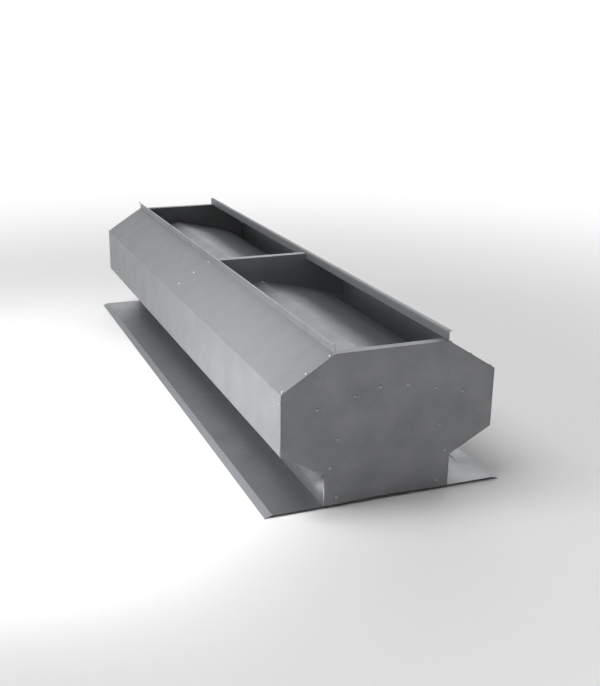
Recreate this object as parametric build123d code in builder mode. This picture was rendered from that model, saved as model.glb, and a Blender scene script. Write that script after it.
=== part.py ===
"""Low-profile static ridge vent, folded from flat galvanised steel sheet.

Millimetres, +Z up. The ridge runs along Y, the near end plate faces -Y, and left is -X.
The origin is on the floor, under the middle of the vent.
"""
import os

from build123d import *

os.makedirs("parts", exist_ok=True)

# Stock
length = 3048.0
sheet = 0.85
fold_radius = 2.0

# Base flashing, from its outer lip to the throat
flashing_width = 1000.0
lip_width = 30.0
lip_drop = 10.0

# Throat: the flashing's upstand with its drip flare, and the taller wall inside it
throat_width = 530.0
upstand_height = 135.0
flare_reach = 36.0
flare_drop = 36.0
throat_wall_height = 290.0
throat_tab = 60.0

# Windband, which wraps the end plates and the bulkhead
body_width = 880.0
skirt_bottom = 240.0
skirt_height = 240.0
opening_width = 464.0
shoulder_rise = 132.0
rim_height = 38.0
rim_lip = 14.0
rim_radius = 8.0

# End plates and bulkhead
plate_flange = 38.0
plate_camber = 6.0
relief = 4.0
bulkhead_y = -110.0
bulkhead_foot = 25.0
bulkhead_margin = 12.0

# Rain cap
cap_ridge = 514.0
cap_width = 688.0
cap_fall = 79.0
cap_drip = 12.0
cap_tab = 60.0
cap_tab_relief = 12.0

# Levels, half widths and faces that follow from them
throat_half = throat_width / 2
shoulder_half = body_width / 2
opening_half = opening_width / 2
cap_half = cap_width / 2
flare_level = lip_drop + upstand_height
shoulder_level = skirt_bottom + skirt_height
opening_level = shoulder_level + shoulder_rise
rim_level = opening_level + rim_height
cap_eave = cap_ridge - cap_fall
end_face = -length / 2
inner_face = end_face + sheet

# Layers at the throat, from outside: end plate flange, flashing upstand, throat wall
upstand_skin = throat_half - 2 * sheet


def sheet_section(*skin, radii=fold_radius):
    """Section of a folded sheet, drawn from one skin with the thickness to the right of its run."""
    with BuildSketch() as section:
        with BuildLine():
            FilletPolyline(*skin, radius=radii)
            offset(amount=sheet, side=Side.RIGHT)
        make_face()
    return section.sketch


def edge_plane(start, end, outward):
    """Plane across a sheet's edge: X points off the edge, and Y the way that a flange folds."""
    return Plane(origin=start, x_dir=outward, z_dir=Vector(*end) - Vector(*start))


def folded_rim(start, end, outward):
    """The strip of sheet along an edge that a fold takes up."""
    with BuildPart() as rim:
        with BuildSketch(edge_plane(start, end, outward)):
            Rectangle(fold_radius, sheet, align=(Align.MAX, Align.MIN))
        extrude(amount=(Vector(*end) - Vector(*start)).length)
    return rim.part


def flange(start, end, outward, depth, start_relief=relief, end_relief=relief):
    """A flange folded along a sheet's edge, held back from both corners by a relief."""
    with BuildPart() as folded:
        with BuildSketch(edge_plane(start, end, outward).offset(start_relief)):
            add(sheet_section((0, depth), (0, 0), (-2 * fold_radius, 0)))
        extrude(amount=(Vector(*end) - Vector(*start)).length - start_relief - end_relief)
    return folded.part


def outward_of(start, end):
    """Direction off an edge of a plate in the XZ plane whose outline runs anticlockwise from the front."""
    run = Vector(*end) - Vector(*start)
    return Vector(run.Z, 0, -run.X)


# Windband: skirt, shoulder, rim and its outward lip
with BuildPart() as windband_right:
    with BuildSketch(Plane.XZ):
        add(
            sheet_section(
                (shoulder_half, skirt_bottom),
                (shoulder_half, shoulder_level),
                (opening_half, opening_level),
                (opening_half, rim_level),
                (opening_half + rim_lip, rim_level),
                radii=[fold_radius, fold_radius, rim_radius],
            )
        )
    extrude(amount=length / 2, both=True)

with BuildPart() as windband_left:
    mirror(windband_right.part, about=Plane.YZ)

# Base flashing: outer lip, roof flange, upstand at the throat and drip flare
with BuildPart() as base_flashing_right:
    with BuildSketch(Plane.XZ):
        add(
            sheet_section(
                (flashing_width / 2, 0),
                (flashing_width / 2 - lip_width, lip_drop),
                (upstand_skin, lip_drop),
                (upstand_skin, flare_level),
                (upstand_skin + flare_reach, flare_level - flare_drop),
            )
        )
    extrude(amount=length / 2 - fold_radius, both=True)

with BuildPart() as base_flashing_left:
    mirror(base_flashing_right.part, about=Plane.YZ)

# Throat wall: a plain upright sheet with a tab folded in at each end
tab_top = (upstand_skin, inner_face, lip_drop + throat_wall_height)
tab_foot = (upstand_skin, inner_face, lip_drop)
with BuildPart() as throat_wall_right:
    with BuildSketch(Plane.XY.offset(lip_drop)):
        with Locations((upstand_skin, 0)):
            Rectangle(sheet, length - 2 * sheet, align=(Align.MAX, Align.CENTER))
    extrude(amount=throat_wall_height)
    add(folded_rim(tab_top, tab_foot, (0, -1, 0)), mode=Mode.SUBTRACT)
    add(flange(tab_top, tab_foot, (0, -1, 0), throat_tab))
    split(bisect_by=Plane.XZ, keep=Keep.TOP)
    mirror(about=Plane.XZ)

with BuildPart() as throat_wall_left:
    mirror(throat_wall_right.part, about=Plane.YZ)

# Rain cap: a shallow gable with drip edges, and tabs folded down at its ends
ridge_end = (0, inner_face, cap_ridge)
eave_ends = [((-cap_half, inner_face, cap_eave), ridge_end), (ridge_end, (cap_half, inner_face, cap_eave))]
with BuildPart() as rain_cap:
    with BuildSketch(Plane.XZ):
        add(
            sheet_section(
                (-cap_half, cap_eave - cap_drip),
                (-cap_half, cap_eave),
                (0, cap_ridge),
                (cap_half, cap_eave),
                (cap_half, cap_eave - cap_drip),
            )
        )
    extrude(amount=length / 2 - sheet, both=True)
    for start, end in eave_ends:
        add(folded_rim(start, end, (0, -1, 0)), mode=Mode.SUBTRACT)
        add(flange(start, end, (0, -1, 0), cap_tab, cap_tab_relief, cap_tab_relief))
    split(bisect_by=Plane.XZ, keep=Keep.TOP)
    mirror(about=Plane.XZ)


def plate_web(outline, face):
    """Flat sheet in the XZ plane with its front at face, inside a closed outline of X, Z points."""
    with BuildPart() as web:
        with BuildSketch(Plane.XZ.offset(-face)):
            with BuildLine():
                Polyline(*outline, close=True)
            make_face()
        extrude(amount=-sheet)
    return web.part


def at_face(face, *corners):
    """X, Z corners as points on a plate's face."""
    return [(x, face, z) for x, z in corners]


# Outline that the windband wraps, anticlockwise from the right skirt to the left one
wrapped = [
    (shoulder_half, skirt_bottom),
    (shoulder_half, shoulder_level),
    (opening_half, opening_level),
    (-opening_half, opening_level),
    (-shoulder_half, shoulder_level),
    (-shoulder_half, skirt_bottom),
]

# End plate: flanges on every edge but the two slanting ones and the foot
throat_fold_top = flare_level - relief
throat_right = [(throat_half, lip_drop), (throat_half, throat_fold_top)]
throat_left = [(-throat_half, throat_fold_top), (-throat_half, lip_drop)]
with BuildPart() as end_plate_front:
    knees = [(throat_half, flare_level), (-throat_half, flare_level)]
    camber = (0, lip_drop + plate_camber)
    add(plate_web([camber, throat_right[0], knees[0], *wrapped, knees[1], throat_left[1]], end_face))
    for corners in [*zip(wrapped, wrapped[1:]), throat_right, throat_left]:
        start, end = at_face(end_face, *corners)
        add(folded_rim(start, end, outward_of(start, end)), mode=Mode.SUBTRACT)
        add(flange(start, end, outward_of(start, end), plate_flange))

with BuildPart() as end_plate_rear:
    mirror(end_plate_front.part, about=Plane.XZ)

# Bulkhead: it stands on the cap and reaches up between the rims, with flanges turned back
# against the windband and a foot turned forward onto the cap
foot_level = cap_ridge - cap_fall * shoulder_half / cap_half
foot_ends = [(-shoulder_half, foot_level), (0, cap_ridge), (shoulder_half, foot_level)]
head_level = rim_level - bulkhead_margin
head_ends = [(opening_half, head_level), (-opening_half, head_level)]
right_side = [foot_ends[-1], *wrapped[1:3]]
left_side = [*wrapped[3:5], foot_ends[0]]
with BuildPart() as bulkhead:
    add(plate_web([*foot_ends, *right_side[1:], *head_ends, *left_side[:-1]], bulkhead_y))
    for corners in [*zip(right_side, right_side[1:]), head_ends, *zip(left_side, left_side[1:])]:
        start, end = at_face(bulkhead_y, *corners)
        add(folded_rim(start, end, outward_of(start, end)), mode=Mode.SUBTRACT)
        add(flange(start, end, outward_of(start, end), plate_flange))
    for corners in zip(foot_ends, foot_ends[1:]):
        start, end = at_face(bulkhead_y + sheet, *corners)
        add(folded_rim(end, start, outward_of(start, end)), mode=Mode.SUBTRACT)
        add(flange(end, start, outward_of(start, end), bulkhead_foot))

pieces = {
    "windband_left": windband_left,
    "windband_right": windband_right,
    "end_plate_front": end_plate_front,
    "end_plate_rear": end_plate_rear,
    "bulkhead": bulkhead,
    "rain_cap": rain_cap,
    "base_flashing_left": base_flashing_left,
    "base_flashing_right": base_flashing_right,
    "throat_wall_left": throat_wall_left,
    "throat_wall_right": throat_wall_right,
}
for name, piece in pieces.items():
    piece.part.label = name
    export_step(piece.part, f"parts/{name}.step")
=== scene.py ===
"""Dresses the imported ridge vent: bare galvanised sheet, blind rivets and a plain studio.

Blender's unit is the metre. +Z is up, the ridge runs along Y, and the near end plate faces -Y.
"""
import logging
import math
from dataclasses import dataclass
from enum import Enum
from typing import Any

import bpy
from mathutils import Matrix, Vector
from mathutils.bvhtree import BVHTree


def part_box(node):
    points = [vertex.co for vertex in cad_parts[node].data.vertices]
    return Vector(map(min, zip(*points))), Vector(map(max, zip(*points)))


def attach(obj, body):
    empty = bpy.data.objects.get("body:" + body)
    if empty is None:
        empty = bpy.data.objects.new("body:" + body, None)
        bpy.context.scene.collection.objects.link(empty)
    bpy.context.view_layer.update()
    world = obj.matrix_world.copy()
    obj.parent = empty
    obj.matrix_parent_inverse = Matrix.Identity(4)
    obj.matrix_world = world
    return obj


log = logging.getLogger("ridge_vent")

MM = 0.001

# A point this near to a face counts as on it
TOUCH = 0.1 * MM

BODY = "root"


def linear(hex_colour: str) -> tuple[float, float, float, float]:
    """Turns an sRGB hex colour into the linear colour that a shader takes.

    Args:
        hex_colour: Six hex digits after a hash sign.

    Returns:
        Red, green, blue and an alpha of one.
    """
    parts = [int(hex_colour[i:i + 2], 16) / 255 for i in (1, 3, 5)]
    red, green, blue = (p / 12.92 if p <= 0.04045 else ((p + 0.055) / 1.055) ** 2.4 for p in parts)
    return red, green, blue, 1.0


def add_node(
    tree: bpy.types.NodeTree,
    kind: str,
    settings: dict[str, Any] | None = None,
    inputs: dict[str | int, Any] | None = None,
) -> bpy.types.Node:
    """Adds a node with its settings, and links or sets its inputs.

    Args:
        tree: The tree that gets the node.
        kind: The node's class name.
        settings: Properties of the node, by name.
        inputs: Sockets to link from, or values to set, by the input's name or number.

    Returns:
        The new node.
    """
    node = tree.nodes.new(kind)
    for name, value in (settings or {}).items():
        setattr(node, name, value)
    for key, value in (inputs or {}).items():
        if isinstance(value, bpy.types.NodeSocket):
            tree.links.new(value, node.inputs[key])
        else:
            node.inputs[key].default_value = value
    return node


class Rolled(Enum):
    """Direction in which a piece's sheet ran through the mill, which its faint streaks follow.

    Each value is the number of that axis.
    """

    ALONG_RIDGE = 1
    ACROSS = 0


@dataclass(frozen=True)
class GalvanisedSheet:
    """Hot-dip galvanised steel, skin passed between rolls: a grey satin metal with soft clouds.

    Args:
        name: The material's name.
        rolled: Direction of the mill's streaks.
        pale: Colour of the bright clouds in the zinc.
        dull: Colour of the greyer clouds, where the zinc has begun to weather.
        roughness: Roughness of the glossiest and of the dullest spots.
        cloud_mm: Size of the clouds.
        spangle_mm: Size of the zinc's crystals. Real ones of 3 mm would be too fine to show.
        streak_mm: Width and length of the mill's streaks.
        canning_mm: Length of the waves in the flat sheet.
        canning_height_mm: Height of those waves, which bend its reflections.
        mottle: How far one crystal, or one streak, lies from the next between dull and pale.
        shades: The cloud values, between dull and pale, at which the roughness stops changing.
    """

    name: str
    rolled: Rolled
    pale: str = "#a1a3a5"
    dull: str = "#919396"
    roughness: tuple[float, float] = (0.53, 0.65)
    cloud_mm: float = 140.0
    spangle_mm: float = 9.0
    streak_mm: tuple[float, float] = (5.0, 420.0)
    canning_mm: float = 380.0
    canning_height_mm: float = 0.25
    mottle: float = 0.14
    shades: tuple[float, float] = (0.2, 0.8)

    def build(self) -> bpy.types.Material:
        """Makes the material.

        Returns:
            The finished material.
        """
        material = bpy.data.materials.new(self.name)
        material.use_nodes = True
        tree = material.node_tree
        tree.nodes.clear()
        place = add_node(tree, "ShaderNodeTexCoord").outputs["Object"]

        cloud = add_node(
            tree, "ShaderNodeTexNoise",
            inputs={"Vector": place, "Scale": 1 / (self.cloud_mm * MM), "Detail": 3.0},
        )
        spangle = add_node(
            tree, "ShaderNodeTexVoronoi", inputs={"Vector": place, "Scale": 1 / (self.spangle_mm * MM)}
        )
        crystal = add_node(tree, "ShaderNodeSeparateColor", inputs={"Color": spangle.outputs["Color"]})
        width, length = self.streak_mm
        stretch = [1 / (width * MM)] * 3
        stretch[self.rolled.value] = 1 / (length * MM)
        along = add_node(tree, "ShaderNodeMapping", inputs={"Vector": place, "Scale": stretch})
        streak = add_node(
            tree, "ShaderNodeTexNoise",
            inputs={"Vector": along.outputs["Vector"], "Scale": 1.0, "Detail": 2.0},
        )

        both = add_node(
            tree, "ShaderNodeMath", {"operation": "ADD"},
            {0: crystal.outputs["Red"], 1: streak.outputs["Fac"]},
        )
        fine = add_node(
            tree, "ShaderNodeMath", {"operation": "MULTIPLY_ADD"},
            {0: both.outputs[0], 1: self.mottle, 2: -self.mottle},
        )
        shade = add_node(
            tree, "ShaderNodeMath", {"operation": "ADD", "use_clamp": True},
            {0: cloud.outputs["Fac"], 1: fine.outputs[0]},
        )
        colour = add_node(
            tree, "ShaderNodeMix", {"data_type": "RGBA"},
            {"Factor": shade.outputs[0], "A": linear(self.dull), "B": linear(self.pale)},
        )
        low, high = self.shades
        glossy, dull = self.roughness
        rough = add_node(
            tree, "ShaderNodeMapRange",
            inputs={
                "Value": shade.outputs[0], "From Min": low, "From Max": high, "To Min": dull, "To Max": glossy,
            },
        )
        wave = add_node(
            tree, "ShaderNodeTexNoise",
            inputs={"Vector": place, "Scale": 1 / (self.canning_mm * MM), "Detail": 0.0},
        )
        bump = add_node(
            tree, "ShaderNodeBump",
            inputs={"Height": wave.outputs["Fac"], "Distance": self.canning_height_mm * MM, "Strength": 1.0},
        )
        shader = add_node(
            tree, "ShaderNodeBsdfPrincipled",
            inputs={
                "Base Color": colour.outputs["Result"],
                "Metallic": 1.0,
                "Roughness": rough.outputs["Result"],
                "Normal": bump.outputs["Normal"],
            },
        )
        add_node(tree, "ShaderNodeOutputMaterial", inputs={"Surface": shader.outputs["BSDF"]})
        return material


@dataclass(frozen=True)
class RivetSteel:
    """Zinc-plated steel of a blind rivet, pressed: smoother and brighter than the sheet.

    Args:
        name: The material's name.
        plate: Colour of the plating.
        grime: Colour of the dirt that gathers round the heads.
        roughness: Roughness of the pressed metal.
        speck_mm: Size of the specks of dirt.
    """

    name: str = "zinc_plated_rivet_steel"
    plate: str = "#c6c8ca"
    grime: str = "#909193"
    roughness: float = 0.3
    speck_mm: float = 4.0

    def build(self) -> bpy.types.Material:
        """Makes the material.

        Returns:
            The finished material.
        """
        material = bpy.data.materials.new(self.name)
        material.use_nodes = True
        tree = material.node_tree
        tree.nodes.clear()
        place = add_node(tree, "ShaderNodeTexCoord").outputs["Object"]
        specks = add_node(
            tree, "ShaderNodeTexNoise",
            inputs={"Vector": place, "Scale": 1 / (self.speck_mm * MM), "Detail": 2.0},
        )
        colour = add_node(
            tree, "ShaderNodeMix", {"data_type": "RGBA"},
            {"Factor": specks.outputs["Fac"], "A": linear(self.grime), "B": linear(self.plate)},
        )
        shader = add_node(
            tree, "ShaderNodeBsdfPrincipled",
            inputs={"Base Color": colour.outputs["Result"], "Metallic": 1.0, "Roughness": self.roughness},
        )
        add_node(tree, "ShaderNodeOutputMaterial", inputs={"Surface": shader.outputs["BSDF"]})
        return material


@dataclass(frozen=True)
class FloorPaint:
    """Matte pale floor paint, which shows a soft shadow and turns into a white backdrop away from the vent.

    Args:
        name: The material's name.
        colour: Colour of the paint.
        roughness: Its roughness.
        fade_m: Distance from the vent's middle at which the backdrop begins, and where it is complete.
        backdrop: Brightness of the backdrop, where one is white.
    """

    name: str = "matte_floor_paint"
    colour: str = "#f2f2f2"
    roughness: float = 0.9
    fade_m: tuple[float, float] = (1.5, 6.0)
    backdrop: float = 1.0

    def build(self) -> bpy.types.Material:
        """Makes the material.

        Returns:
            The finished material.
        """
        material = bpy.data.materials.new(self.name)
        material.use_nodes = True
        tree = material.node_tree
        tree.nodes.clear()
        paint = add_node(
            tree, "ShaderNodeBsdfPrincipled",
            inputs={"Base Color": linear(self.colour), "Roughness": self.roughness},
        )
        pale = add_node(tree, "ShaderNodeEmission", inputs={"Strength": self.backdrop})
        place = add_node(tree, "ShaderNodeTexCoord").outputs["Object"]
        distance = add_node(tree, "ShaderNodeVectorMath", {"operation": "LENGTH"}, {0: place})
        start, end = self.fade_m
        away = add_node(
            tree, "ShaderNodeMapRange", {"interpolation_type": "SMOOTHSTEP"},
            {"Value": distance.outputs["Value"], "From Min": start, "From Max": end},
        )
        ray = add_node(tree, "ShaderNodeLightPath").outputs
        direct = add_node(
            tree, "ShaderNodeMath", {"operation": "ADD"},
            {0: ray["Is Camera Ray"], 1: ray["Is Glossy Ray"]},
        )
        seen = add_node(
            tree, "ShaderNodeMath", {"operation": "ADD", "use_clamp": True},
            {0: direct.outputs[0], 1: ray["Is Transmission Ray"]},
        )
        share = add_node(
            tree, "ShaderNodeMath", {"operation": "MULTIPLY"},
            {0: away.outputs["Result"], 1: seen.outputs[0]},
        )
        mixed = add_node(
            tree, "ShaderNodeMixShader",
            inputs={0: share.outputs[0], 1: paint.outputs["BSDF"], 2: pale.outputs["Emission"]},
        )
        add_node(tree, "ShaderNodeOutputMaterial", inputs={"Surface": mixed.outputs[0]})
        return material


@dataclass(frozen=True)
class RivetRow:
    """A straight row of rivets at even spacing.

    Args:
        start: Seat of the first head, on the sheet's outside.
        end: Seat of the last head.
        count: How many rivets the row has.
        outward: Direction in which the heads point.
    """

    start: Vector
    end: Vector
    count: int
    outward: Vector


@dataclass(frozen=True)
class BlindRivets:
    """Blind rivets: domed heads with the broken end of the pin in a recess at the middle.

    Args:
        head_mm: Diameter of a head.
        height_mm: Height of a head above the sheet.
        sides: Number of steps round a head.
        weld_mm: Distance within which a head's points are joined, at its middle and its seam.
        profile: Half section of a head from the pin's middle round to the seat's middle, as shares
            of its radius and of its height.
    """

    head_mm: float = 13.0
    height_mm: float = 3.4
    sides: int = 24
    weld_mm: float = 0.01
    profile: tuple[tuple[float, float], ...] = (
        (0.0, 0.6), (0.17, 0.6), (0.2, 0.45), (0.25, 0.8), (0.38, 0.98),
        (0.55, 0.93), (0.75, 0.7), (0.92, 0.36), (1.0, 0.18), (1.0, 0.0), (0.0, 0.0),
    )

    def _curve(
        self, tree: bpy.types.NodeTree, along: bpy.types.NodeSocket, column: int
    ) -> bpy.types.NodeSocket:
        """Reads one column of the profile at a place along it.

        Args:
            tree: The tree that gets the node.
            along: Place along the profile, from zero to one.
            column: Zero for the radius and one for the height.

        Returns:
            The socket with the value there.
        """
        node = add_node(tree, "ShaderNodeFloatCurve", inputs={"Value": along})
        points = node.mapping.curves[0].points
        last = len(self.profile) - 1
        for number, pair in enumerate(self.profile):
            if number in (0, last):
                point = points[0 if number == 0 else -1]
                point.location = (number / last, pair[column])
            else:
                point = points.new(number / last, pair[column])
        for point in points:
            point.handle_type = "VECTOR"
        node.mapping.update()
        return node.outputs["Value"]

    def tree(self) -> bpy.types.NodeTree:
        """Makes the Geometry Nodes tree of a row of rivets.

        Returns:
            A tree with inputs for the row's ends, count and direction, and for the head's size.
        """
        tree = bpy.data.node_groups.new("blind_rivet_row", "GeometryNodeTree")
        face = tree.interface
        for name, kind in (
            ("Start", "NodeSocketVector"), ("End", "NodeSocketVector"), ("Count", "NodeSocketInt"),
            ("Outward", "NodeSocketVector"), ("Head Diameter", "NodeSocketFloat"),
            ("Head Height", "NodeSocketFloat"), ("Material", "NodeSocketMaterial"),
        ):
            face.new_socket(name, in_out="INPUT", socket_type=kind)
        face.new_socket("Geometry", in_out="OUTPUT", socket_type="NodeSocketGeometry")
        given = add_node(tree, "NodeGroupInput").outputs

        grid = add_node(
            tree, "GeometryNodeMeshGrid",
            inputs={
                "Size X": 1.0, "Size Y": 1.0, "Vertices X": len(self.profile), "Vertices Y": self.sides + 1,
            },
        )
        position = add_node(tree, "GeometryNodeInputPosition").outputs[0]
        flat = add_node(tree, "ShaderNodeSeparateXYZ", inputs={0: position})
        along = add_node(tree, "ShaderNodeMath", {"operation": "ADD"}, {0: flat.outputs["X"], 1: 0.5})
        turn = add_node(tree, "ShaderNodeMath", {"operation": "MULTIPLY"}, {0: flat.outputs["Y"], 1: math.tau})
        half = add_node(
            tree, "ShaderNodeMath", {"operation": "MULTIPLY"}, {0: given["Head Diameter"], 1: 0.5}
        )
        radius = add_node(
            tree, "ShaderNodeMath", {"operation": "MULTIPLY"},
            {0: self._curve(tree, along.outputs[0], 0), 1: half.outputs[0]},
        )
        height = add_node(
            tree, "ShaderNodeMath", {"operation": "MULTIPLY"},
            {0: self._curve(tree, along.outputs[0], 1), 1: given["Head Height"]},
        )
        ring = add_node(
            tree, "ShaderNodeCombineXYZ", inputs={"X": radius.outputs[0], "Z": height.outputs[0]}
        )
        turned = add_node(
            tree, "ShaderNodeVectorRotate", {"rotation_type": "Z_AXIS"},
            {"Vector": ring.outputs[0], "Angle": turn.outputs[0]},
        )
        lathed = add_node(
            tree, "GeometryNodeSetPosition",
            inputs={"Geometry": grid.outputs["Mesh"], "Position": turned.outputs[0]},
        )
        closed = add_node(
            tree, "GeometryNodeMergeByDistance",
            inputs={"Geometry": lathed.outputs[0], "Distance": self.weld_mm * MM},
        )
        smooth = add_node(tree, "GeometryNodeSetShadeSmooth", inputs={"Geometry": closed.outputs[0]})

        row = add_node(
            tree, "GeometryNodeMeshLine", {"mode": "END_POINTS"},
            {"Count": given["Count"], "Start Location": given["Start"], "Offset": given["End"]},
        )
        aim = add_node(
            tree, "FunctionNodeAlignRotationToVector", {"axis": "Z"}, {"Vector": given["Outward"]}
        )
        heads = add_node(
            tree, "GeometryNodeInstanceOnPoints",
            inputs={"Points": row.outputs["Mesh"], "Instance": smooth.outputs[0], "Rotation": aim.outputs[0]},
        )
        real = add_node(tree, "GeometryNodeRealizeInstances", inputs={"Geometry": heads.outputs[0]})
        dressed = add_node(
            tree, "GeometryNodeSetMaterial",
            inputs={"Geometry": real.outputs[0], "Material": given["Material"]},
        )
        add_node(tree, "NodeGroupOutput", inputs={"Geometry": dressed.outputs[0]})
        return tree

    def set_row(
        self, row: RivetRow, tree: bpy.types.NodeTree, material: bpy.types.Material
    ) -> bpy.types.Mesh:
        """Runs the tree for one row.

        Args:
            row: Where the rivets go.
            tree: The tree that makes them.
            material: Their finish.

        Returns:
            The row as a plain mesh.
        """
        values = {
            "Start": row.start, "End": row.end, "Count": row.count, "Outward": row.outward,
            "Head Diameter": self.head_mm * MM, "Head Height": self.height_mm * MM, "Material": material,
        }
        holder = bpy.data.objects.new("rivet_row", bpy.data.meshes.new("rivet_row"))
        bpy.context.scene.collection.objects.link(holder)
        modifier = holder.modifiers.new("rivets", "NODES")
        modifier.node_group = tree
        for item in tree.interface.items_tree:
            if item.in_out == "INPUT":
                modifier[item.identifier] = values[item.name]
        holder.update_tag()
        evaluated = holder.evaluated_get(bpy.context.evaluated_depsgraph_get())
        mesh = bpy.data.meshes.new_from_object(evaluated)
        bpy.data.objects.remove(holder)
        return mesh

    def set_piece(
        self, name: str, rows: list[RivetRow], tree: bpy.types.NodeTree, material: bpy.types.Material
    ) -> bpy.types.Object:
        """Makes one piece from several rows.

        Args:
            name: The piece's name.
            rows: Its rows.
            tree: The tree that makes a row.
            material: The rivets' finish.

        Returns:
            The piece, which rides on the vent.
        """
        objects = []
        for row in rows:
            one = bpy.data.objects.new(name, self.set_row(row, tree, material))
            bpy.context.scene.collection.objects.link(one)
            objects.append(one)
        piece = objects[0]
        with bpy.context.temp_override(
            active_object=piece, object=piece, selected_editable_objects=objects, selected_objects=objects
        ):
            bpy.ops.object.join()
        piece.name = name
        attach(piece, BODY)
        return piece


@dataclass
class EndPlate:
    """One end plate's rivets, which hold the rain cap's tabs and the throat walls' tabs.

    Args:
        node: The plate's node.
        outward: The way that it faces along Y.
        gable_places_mm: Distances from the middle of the rivets under the cap, left to right.
        gable_drop_mm: How far they lie below the cap's top.
        throat_places_mm: The rivets of a throat wall's tab, as distance in from the wall and height.
    """

    node: str
    outward: int
    gable_places_mm: tuple[float, ...] = (-297.0, -149.0, -46.0, 69.0, 186.0, 304.0)
    gable_drop_mm: float = 39.0
    throat_places_mm: tuple[tuple[float, float], ...] = ((49.0, 277.0), (20.0, 165.0), (50.0, 42.0))

    def rows(self) -> list[RivetRow]:
        """Works out where the rivets sit.

        Returns:
            Rows of one or two rivets each.
        """
        low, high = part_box(self.node)
        face = low.y if self.outward < 0 else high.y
        out = Vector((0, self.outward, 0))
        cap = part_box("rain_cap")[1]
        eave = max(v.co.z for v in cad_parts["rain_cap"].data.vertices if v.co.x > cap.x - TOUCH)
        slope = (cap.z - eave) / cap.x
        rows = []
        for place in self.gable_places_mm:
            x = place * MM
            seat = Vector((x, face, cap.z - abs(x) * slope - self.gable_drop_mm * MM))
            rows.append(RivetRow(seat, seat, 1, out))
        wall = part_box("base_flashing_right")[0].x
        for inset, height in self.throat_places_mm:
            x, z = wall - inset * MM, height * MM
            rows.append(RivetRow(Vector((-x, face, z)), Vector((x, face, z)), 2, out))
        return rows


@dataclass
class Windband:
    """One windband's rivets, at both ends and at the middle of the vent's length.

    Args:
        node: The windband's node.
        side: Which side it is on: minus one for left.
        edge_mm: Distance from the windband's end to the line of rivets.
        slope: First and last place down the slope, as shares of it, and the number of rivets.
        skirt: The same for the skirt, from its foot up.
        middle: The same for the slope at mid-length.
        middle_mm: Where the middle line is along the ridge.
        search_mm: How far outside the sheet the search for a rivet's seat begins.
    """

    node: str
    side: int
    edge_mm: float = 14.0
    slope: tuple[float, float, int] = (0.07, 0.94, 3)
    skirt: tuple[float, float, int] = (0.84, 0.08, 2)
    middle: tuple[float, float, int] = (0.05, 0.78, 3)
    middle_mm: float = 8.0
    search_mm: float = 20.0

    def _corners(self) -> tuple[Vector, Vector, Vector]:
        """Reads the corners of the windband's section from its mesh.

        Returns:
            The slope's top, its foot, and the skirt's foot.
        """
        points = [v.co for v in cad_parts[self.node].data.vertices]
        reach = [abs(p.x) for p in points]
        rim_x, skirt_x = min(reach), max(reach)
        rim = min(p.z for p in points if abs(p.x) < rim_x + TOUCH)
        flat = [p.z for p in points if abs(p.x) > skirt_x - TOUCH]
        opening = Vector((self.side * rim_x, 0, rim))
        shoulder = Vector((self.side * skirt_x, 0, max(flat)))
        return opening, shoulder, Vector((self.side * skirt_x, 0, min(flat)))

    def _row(
        self,
        skin: BVHTree,
        y: float,
        ends: tuple[Vector, Vector],
        places: tuple[float, float, int],
        out: Vector,
    ) -> RivetRow:
        """Drops a row's two end seats onto the sheet's outside.

        Args:
            skin: The windband's mesh, for the search.
            y: Where the row is along the ridge.
            ends: The corners that the places are measured between.
            places: First and last place as shares, and the number of rivets.
            out: Direction off the sheet.

        Returns:
            The row.
        """
        seats = []
        for share in places[:2]:
            near = ends[0].lerp(ends[1], share) + self.search_mm * MM * out
            near.y = y
            seats.append(skin.ray_cast(near, -out)[0])
        return RivetRow(*seats, places[2], out)

    def rows(self) -> list[RivetRow]:
        """Works out where the rivets sit.

        Returns:
            A row down the slope at mid-length, and one down each slope and skirt at the ends.
        """
        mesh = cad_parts[self.node].data
        skin = BVHTree.FromPolygons([v.co for v in mesh.vertices], [p.vertices for p in mesh.polygons])
        opening, shoulder, foot = self._corners()
        level = Vector((self.side, 0, 0))
        fall = shoulder - opening
        up = Vector((-fall.z * self.side, 0, abs(fall.x))).normalized()
        low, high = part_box(self.node)
        rows = [self._row(skin, self.middle_mm * MM, (opening, shoulder), self.middle, up)]
        for y in (low.y + self.edge_mm * MM, high.y - self.edge_mm * MM):
            rows.append(self._row(skin, y, (opening, shoulder), self.slope, up))
            rows.append(self._row(skin, y, (foot, shoulder), self.skirt, level))
        return rows


@dataclass(frozen=True)
class Sheetwork:
    """The folded sheets, each with the finish of the coil that it was cut from; the end plates' finish is
    darker, with painted shade.

    Args:
        finishes: Each finish, with the nodes that have it.
    """

    finishes: tuple[tuple[GalvanisedSheet, tuple[str, ...]], ...] = (
        (
            GalvanisedSheet("galvanised_steel_rolled_along_ridge", Rolled.ALONG_RIDGE),
            (
                "windband_left", "windband_right", "rain_cap", "base_flashing_left", "base_flashing_right",
                "throat_wall_left", "throat_wall_right",
            ),
        ),
        (GalvanisedSheet("galvanised_steel_rolled_across", Rolled.ACROSS), ("bulkhead",)),
        # The end plates' darker pale and dull colours are painted shade, for the dim floor that their faces
        # reflect.
        (
            GalvanisedSheet(
                "galvanised_steel_rolled_across_painted_shade", Rolled.ACROSS, pale="#949597", dull="#848587"
            ),
            ("end_plate_front", "end_plate_rear"),
        ),
    )

    def dress(self) -> None:
        """Gives each node its finish."""
        for sheet, names in self.finishes:
            finish = sheet.build()
            for name in names:
                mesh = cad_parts[name].data
                mesh.materials.clear()
                mesh.materials.append(finish)
                log.info("dressed %s in %s", name, finish.name)


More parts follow.
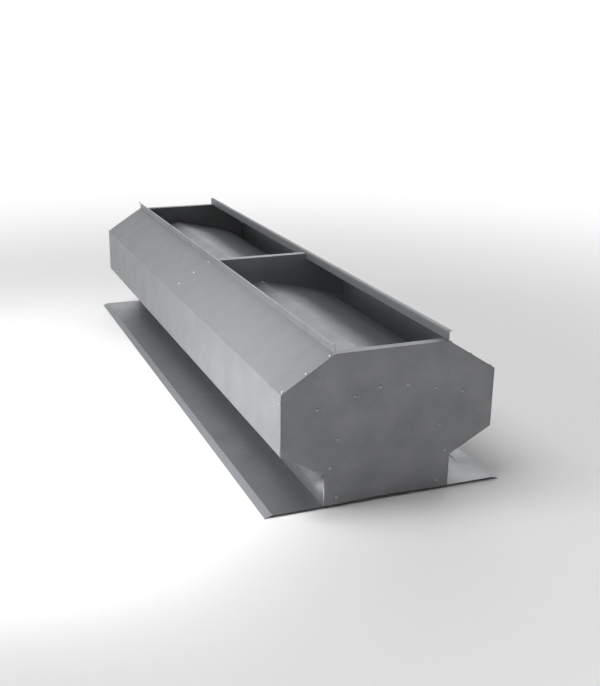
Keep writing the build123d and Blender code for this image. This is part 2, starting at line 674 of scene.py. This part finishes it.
@dataclass(frozen=True)
class PhotoCamera:
    """The camera at the photograph's viewing angle.

    Args:
        image_px: Width and height of the photograph.
        focal_px: Focal length.
        axis_px: Where the lens axis meets the photograph.
        azimuth: Degrees to the right of the +Y direction.
        elevation: Degrees that it looks down.
        roll: Degrees of turn about its axis.
        place_mm: Where it stands.
        sensor_mm: Width of its sensor.
        reach_m: How far it sees.
    """

    image_px: tuple[int, int] = (600, 686)
    focal_px: float = 984.4
    axis_px: tuple[float, float] = (281.7, 353.3)
    azimuth: float = 20.948
    elevation: float = 18.72
    roll: float = 0.413
    place_mm: tuple[float, float, float] = (-1603.8, -4569.7, 1744.2)
    sensor_mm: float = 36.0
    reach_m: float = 200.0

    def build(self) -> bpy.types.Object:
        """Makes the camera and sets it as the scene's.

        Returns:
            The camera.
        """
        data = bpy.data.cameras.new("photo_camera")
        width, height = self.image_px
        data.sensor_width = self.sensor_mm
        data.lens = self.focal_px * self.sensor_mm / height
        data.shift_x = (width / 2 - self.axis_px[0]) / height
        data.shift_y = (self.axis_px[1] - height / 2) / height
        data.clip_end = self.reach_m
        camera = bpy.data.objects.new("photo_camera", data)
        bpy.context.scene.collection.objects.link(camera)
        az, el, roll = (math.radians(a) for a in (self.azimuth, self.elevation, self.roll))
        forward = Vector((math.sin(az) * math.cos(el), math.cos(az) * math.cos(el), -math.sin(el)))
        right = forward.cross(Vector((0, 0, 1))).normalized()
        down = forward.cross(right)
        turned_right = math.cos(roll) * right - math.sin(roll) * down
        turned_down = math.sin(roll) * right + math.cos(roll) * down
        axes = Matrix((turned_right, -turned_down, -forward)).transposed()
        camera.matrix_world = Matrix.Translation(Vector(self.place_mm) * MM) @ axes.to_4x4()
        bpy.context.scene.camera = camera
        return camera


@dataclass(frozen=True)
class SoftSun:
    """A broad, even light from one direction, like a large softbox far away.

    Args:
        name: The lamp's name.
        towards: Direction from the vent towards the light.
        strength: Its irradiance.
        spread: Angle that it fills, in degrees.
    """

    name: str
    towards: tuple[float, float, float]
    strength: float
    spread: float

    def build(self) -> None:
        """Makes the lamp."""
        data = bpy.data.lights.new(self.name, "SUN")
        data.energy = self.strength
        data.angle = math.radians(self.spread)
        lamp = bpy.data.objects.new(self.name, data)
        lamp.rotation_mode = "QUATERNION"
        lamp.rotation_quaternion = Vector(self.towards).to_track_quat("Z", "Y")
        bpy.context.scene.collection.objects.link(lamp)


@dataclass(frozen=True)
class SoftBox:
    """A round lamp near the vent.

    Args:
        name: The lamp's name.
        place: Where it hangs, in metres.
        aim: The point that it faces.
        width: Its diameter, in metres.
        power: Its power, in watts.
        grid: Angle that its grid lets through, in degrees.
    """

    name: str
    place: tuple[float, float, float]
    aim: tuple[float, float, float]
    width: float
    power: float
    grid: float = 180.0

    def build(self) -> None:
        """Makes the lamp."""
        data = bpy.data.lights.new(self.name, "AREA")
        data.shape = "DISK"
        data.size = self.width
        data.energy = self.power
        data.spread = math.radians(self.grid)
        lamp = bpy.data.objects.new(self.name, data)
        lamp.location = self.place
        lamp.rotation_mode = "QUATERNION"
        lamp.rotation_quaternion = (Vector(self.place) - Vector(self.aim)).to_track_quat("Z", "Y")
        bpy.context.scene.collection.objects.link(lamp)


@dataclass(frozen=True)
class Glow:
    """A soft patch of brightness in the surroundings, which the sheets reflect.

    Args:
        towards: Direction of its middle.
        level: Brightness at its middle.
        falloff: How fast it fades. Higher is narrower.
    """

    towards: tuple[float, float, float]
    level: float
    falloff: float


@dataclass
class Studio:
    """Plain pale floor, surroundings that are brighter behind the vent, soft lamps and narrow ones.

    Args:
        floor_radius: Radius of the round floor, in metres.
        floor_sides: Number of steps round the floor.
        backdrop_height: Height of the backdrop at the floor's edge, in metres.
        floor_drop_mm: How far the floor lies below the vent, so that the two don't flicker.
        even: Level of the surroundings away from the bright patches.
        glows: The bright patches of the surroundings.
        lamps: The lamps.
    """

    floor_radius: float = 60.0
    floor_sides: int = 48
    backdrop_height: float = 12.0
    floor_drop_mm: float = 0.2
    even: float = 0.09
    glows: tuple[Glow, ...] = (
        Glow((0.45, 0.85, 0.2), 0.9, 6.0),
        Glow((0.35, 0.85, 0.42), 1.0, 16.0),
        Glow((-0.1, 0.87, 0.5), 0.25, 12.0),
    )
    lamps: tuple[SoftSun | SoftBox, ...] = (
        SoftSun("high_left", (-0.5, 0.1, 1.0), 1.5, 50.0),
        SoftSun("low_left", (-0.95, 0.2, 0.2), 0.6, 20.0),
        SoftSun("behind_right", (0.6, 0.7, 0.5), 0.4, 40.0),
        SoftBox("softbox_near", (-1.7, -1.2, 1.0), (0.0, 0.0, 0.3), 0.9, 10.0),
        SoftBox("softbox_left", (-2.4, -0.4, 1.5), (0.0, 0.0, 0.3), 2.0, 13.0),
        SoftBox("floor_light_near", (-1.4, -0.9, 2.0), (-1.0, -0.7, 0.0), 0.8, 6.7, 80.0),
        SoftBox("floor_light_far", (-1.7, 0.9, 2.6), (-1.2, 0.7, 0.0), 1.0, 5.0, 80.0),
        SoftBox("floor_light_left", (-2.2, -0.6, 2.6), (-2.2, -0.6, 0.0), 1.0, 10.0, 60.0),
        SoftBox("corner_light", (-2.2, -1.5, 0.16), (-0.27, -1.515, 0.09), 0.1, 0.12, 6.0),
    )

    def _surroundings(self) -> bpy.types.World:
        """Makes the surroundings.

        Returns:
            The world, with the bright patches that the sheets reflect.
        """
        world = bpy.data.worlds.new("studio")
        world.use_nodes = True
        tree = world.node_tree
        tree.nodes.clear()
        direction = add_node(tree, "ShaderNodeTexCoord").outputs["Generated"]
        level: bpy.types.NodeSocket | float = self.even
        for glow in self.glows:
            near = add_node(
                tree, "ShaderNodeVectorMath", {"operation": "DOT_PRODUCT"},
                {0: direction, 1: Vector(glow.towards).normalized()},
            )
            above = add_node(
                tree, "ShaderNodeMath", {"operation": "MAXIMUM"}, {0: near.outputs["Value"], 1: 0.0}
            )
            faded = add_node(
                tree, "ShaderNodeMath", {"operation": "POWER"}, {0: above.outputs[0], 1: glow.falloff}
            )
            level = add_node(
                tree, "ShaderNodeMath", {"operation": "MULTIPLY_ADD"},
                {0: faded.outputs[0], 1: glow.level, 2: level},
            ).outputs[0]
        background = add_node(tree, "ShaderNodeBackground", inputs={"Strength": level})
        background.inputs["Color"].default_value = (1.0, 1.0, 1.0, 1.0)
        add_node(tree, "ShaderNodeOutputWorld", inputs={"Surface": background.outputs[0]})
        return world

    def build(self) -> None:
        """Makes the floor, the world and the lamps, and sets the view transform."""
        mesh = bpy.data.meshes.new("studio_floor")
        count = self.floor_sides
        turns = [math.tau * step / count for step in range(count)]
        rim = [(self.floor_radius * math.cos(turn), self.floor_radius * math.sin(turn)) for turn in turns]
        corners = [(x, y, z) for z in (-self.floor_drop_mm * MM, self.backdrop_height) for x, y in rim]
        sides = [(a, (a + 1) % count, (a + 1) % count + count, a + count) for a in range(count)]
        mesh.from_pydata(corners, [], [tuple(range(count)), *sides])
        mesh.materials.append(FloorPaint().build())
        floor = bpy.data.objects.new("studio_floor", mesh)
        bpy.context.scene.collection.objects.link(floor)
        bpy.context.scene.world = self._surroundings()
        for lamp in self.lamps:
            lamp.build()
        bpy.context.scene.view_settings.view_transform = "Standard"


def main() -> None:
    """Builds the camera, the finishes, the rivets and the studio in order."""
    logging.basicConfig(level=logging.INFO, format="%(message)s")
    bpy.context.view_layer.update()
    PhotoCamera().build()
    Sheetwork().dress()
    rivets = BlindRivets()
    tree, steel = rivets.tree(), RivetSteel().build()
    groups = {
        "rivets_end_plate_front": EndPlate("end_plate_front", -1).rows(),
        "rivets_end_plate_rear": EndPlate("end_plate_rear", 1).rows(),
        "rivets_windband_left": Windband("windband_left", -1).rows(),
        "rivets_windband_right": Windband("windband_right", 1).rows(),
    }
    for name, rows in groups.items():
        rivets.set_piece(name, rows, tree, steel)
        log.info("set %s: %d rivets", name, sum(row.count for row in rows))
    Studio().build()


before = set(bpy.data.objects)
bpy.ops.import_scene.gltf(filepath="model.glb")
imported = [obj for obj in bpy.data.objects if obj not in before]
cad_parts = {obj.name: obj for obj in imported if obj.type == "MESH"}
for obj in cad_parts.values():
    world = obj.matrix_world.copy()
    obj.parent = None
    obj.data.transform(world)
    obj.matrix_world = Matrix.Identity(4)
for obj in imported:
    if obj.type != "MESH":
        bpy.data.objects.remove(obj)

if __name__ == "__main__":
    main()
